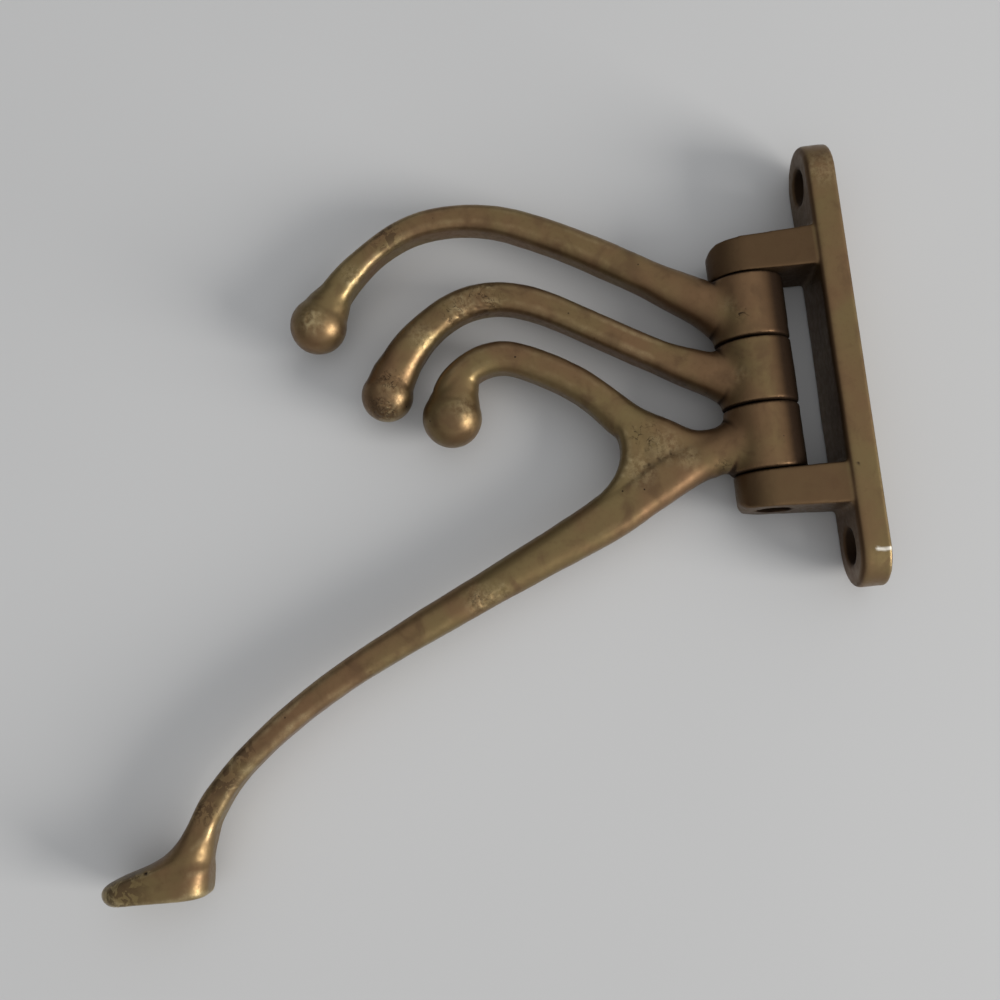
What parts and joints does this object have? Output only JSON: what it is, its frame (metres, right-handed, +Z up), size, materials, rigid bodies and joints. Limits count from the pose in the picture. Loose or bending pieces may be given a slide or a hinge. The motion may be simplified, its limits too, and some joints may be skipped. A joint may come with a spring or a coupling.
{
  "type": "folding wall hook",
  "caption": "Folding wall hook in aged cast brass: swivel arms with rounded tips turn on an upright pin between the lugs of a slim plate, and the top arm ends in a long hat rest.",
  "frame": {"origin": "centre of the wall plate's flat back face, which lies on the wall", "axes": "+Y into the wall, -Y straight out into the room, +Z up in use, X along the wall"},
  "size_m": [0.017, 0.1711, 0.1505],
  "materials": {
    "cast_brass": "aged, brown patina",
    "pin_brass": "worn, dull"
  },
  "bodies": {
    "mount": {"wall_plate": "cast_brass", "hinge_pin": "pin_brass"},
    "lower": {"lower_hook": "cast_brass"},
    "middle": {"middle_hook": "cast_brass"},
    "upper": {"upper_hook": "cast_brass"}
  },
  "joints": [
    {"name": "lower_swing", "type": "hinge", "parent": "mount", "child": "lower", "pos_m": [0, -0.0214, 0], "axis": [0, 0, 1], "range_deg": [-95, 95]},
    {"name": "middle_swing", "type": "hinge", "parent": "mount", "child": "middle", "pos_m": [0, -0.0214, 0], "axis": [0, 0, 1], "range_deg": [-95, 95]},
    {"name": "upper_swing", "type": "hinge", "parent": "mount", "child": "upper", "pos_m": [0, -0.0214, 0], "axis": [0, 0, 1], "range_deg": [-95, 95]}
  ]
}
